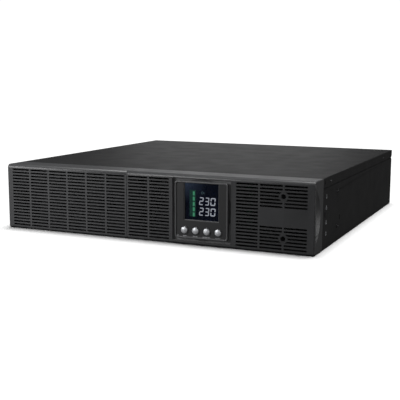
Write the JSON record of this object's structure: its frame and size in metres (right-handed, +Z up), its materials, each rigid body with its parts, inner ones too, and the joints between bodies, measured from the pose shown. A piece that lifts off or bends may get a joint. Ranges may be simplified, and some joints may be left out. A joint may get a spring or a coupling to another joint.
{
  "type": "uninterruptible power supply",
  "caption": "Flat rack or tower uninterruptible power supply with a slotted grille front, turning square display module, removable battery drawer and rear sockets.",
  "frame": {"origin": "centre of the footprint, on the plane of the flat case bottom", "axes": "+X to the right seen from the front, +Y from the bezel to the rear panel, +Z up"},
  "size_m": [0.442, 0.45, 0.088],
  "materials": {
    "case_steel": "fine-textured black powder coat",
    "bezel_plastic": "fine-textured charcoal moulding",
    "zinc_steel": "bright zinc plate",
    "galvanised": "galvanised sheet",
    "black_screw": "black oxide",
    "circuit_green": "green solder mask",
    "heatsink_aluminium": "extruded, clear anodised",
    "component_black": "moulded epoxy",
    "capacitor_sleeve": "dark blue shrink sleeve",
    "copper_winding": "enamelled copper wire",
    "transformer_core": "ferrite and tape",
    "relay_case": "blue moulding",
    "tin_plate": "tin-plated sheet",
    "wire_red": "PVC insulation",
    "socket_black": "smooth black moulding",
    "contact_metal": "nickel plate",
    "port_shell": "nickel-plated shell",
    "epo_green": "green terminal block",
    "battery_case": "moulded ABS",
    "battery_grey": "moulded connector housing",
    "ribbon_grey": "flat flexible cable",
    "display_plastic": "fine-textured charcoal moulding",
    "lens": "smoked clear",
    "lcd": "dark liquid crystal panel",
    "button_silver": "satin chrome",
    "breaker_black": "smooth moulding"
  },
  "bodies": {
    "case": {"chassis_base": "case_steel", "top_cover": "case_steel", "rear_panel": "case_steel", "front_bulkhead": "case_steel", "bay_partition": "galvanised", "front_bezel": "bezel_plastic", "bezel_screws": "zinc_steel", "cover_screws": "black_screw", "side_screws": "zinc_steel", "rack_ear_inserts": "zinc_steel", "rear_screws": "zinc_steel", "main_board": "circuit_green", "board_standoffs": "contact_metal", "rectifier_heatsink": "heatsink_aluminium", "inverter_heatsink": "heatsink_aluminium", "power_transistors": "component_black", "bus_capacitors": "capacitor_sleeve", "pfc_inductors": "copper_winding", "charger_transformer": "transformer_core", "transfer_relays": "relay_case", "control_board": "circuit_green", "input_filter": "tin_plate", "power_wiring": "wire_red", "fan_frame": "socket_black", "fan_guard": "contact_metal", "fan_screws": "zinc_steel", "mains_inlet": "socket_black", "inlet_pins": "contact_metal", "outlet_bank_a": "socket_black", "outlet_bank_b": "socket_black", "breaker_body": "breaker_black", "usb_port": "port_shell", "serial_port": "port_shell", "network_jacks": "socket_black", "epo_header": "epo_green", "slot_cover": "case_steel", "ground_screw": "zinc_steel", "battery_socket": "battery_grey"},
    "battery_drawer": {"battery_tray": "case_steel", "tray_handle": "socket_black", "tray_screws": "zinc_steel", "battery_front": "battery_case", "battery_middle": "battery_case", "battery_rear": "battery_case", "battery_leads": "wire_red", "battery_plug": "battery_grey"},
    "battery_cover": {"front_cover": "bezel_plastic"},
    "display_ribbon": {"display_cable": "ribbon_grey"},
    "display_module": {"display_frame": "display_plastic", "display_window": "lens", "lcd_panel": "lcd", "display_housing": "display_plastic", "display_board": "circuit_green"},
    "on_button": {"button_on": "button_silver"},
    "off_button": {"button_off": "button_silver"},
    "mode_button": {"button_mode": "button_silver"},
    "enter_button": {"button_enter": "button_silver"},
    "fan_wheel": {"fan_rotor": "socket_black"},
    "breaker_reset": {"breaker_button": "breaker_black"},
    "epo_connector": {"epo_plug": "epo_green"}
  },
  "joints": [
    {"name": "drawer_slide", "type": "slide", "parent": "case", "child": "battery_drawer", "axis": [0, -1, 0], "range_m": [0, 0.36]},
    {"name": "cover_slide", "type": "slide", "parent": "battery_drawer", "child": "battery_cover", "axis": [0, -1, 0], "range_m": [0, 0.06]},
    {"name": "display_pull", "type": "slide", "parent": "case", "child": "display_ribbon", "axis": [0, -1, 0], "range_m": [0, 0.038], "deforming": ["display_cable"]},
    {"name": "display_turn", "type": "hinge", "parent": "display_ribbon", "child": "display_module", "pos_m": [0.0735, -0.213, 0.044], "axis": [0, 1, 0], "range_deg": [0, 90]},
    {"name": "on_button_press", "type": "slide", "parent": "display_module", "child": "on_button", "axis": [0, 1, 0], "range_m": [0, 0.0009], "stiffness_N_per_m": 1200, "springref_m": -0.0004},
    {"name": "off_button_press", "type": "slide", "parent": "display_module", "child": "off_button", "axis": [0, 1, 0], "range_m": [0, 0.0009], "stiffness_N_per_m": 1200, "springref_m": -0.0004},
    {"name": "mode_button_press", "type": "slide", "parent": "display_module", "child": "mode_button", "axis": [0, 1, 0], "range_m": [0, 0.0009], "stiffness_N_per_m": 1200, "springref_m": -0.0004},
    {"name": "enter_button_press", "type": "slide", "parent": "display_module", "child": "enter_button", "axis": [0, 1, 0], "range_m": [0, 0.0009], "stiffness_N_per_m": 1200, "springref_m": -0.0004},
    {"name": "fan_spin", "type": "hinge", "parent": "case", "child": "fan_wheel", "pos_m": [0.165, 0.205, 0.044], "axis": [0, 1, 0], "continuous": true},
    {"name": "breaker_pop", "type": "slide", "parent": "case", "child": "breaker_reset", "axis": [0, 1, 0], "range_m": [0, 0.004]},
    {"name": "epo_pull", "type": "slide", "parent": "case", "child": "epo_connector", "axis": [0, 1, 0], "range_m": [0, 0.012]}
  ],
  "couplings": [
    {"joint": "display_turn", "follows": "display_pull", "rad_per_m": 41.336}
  ]
}
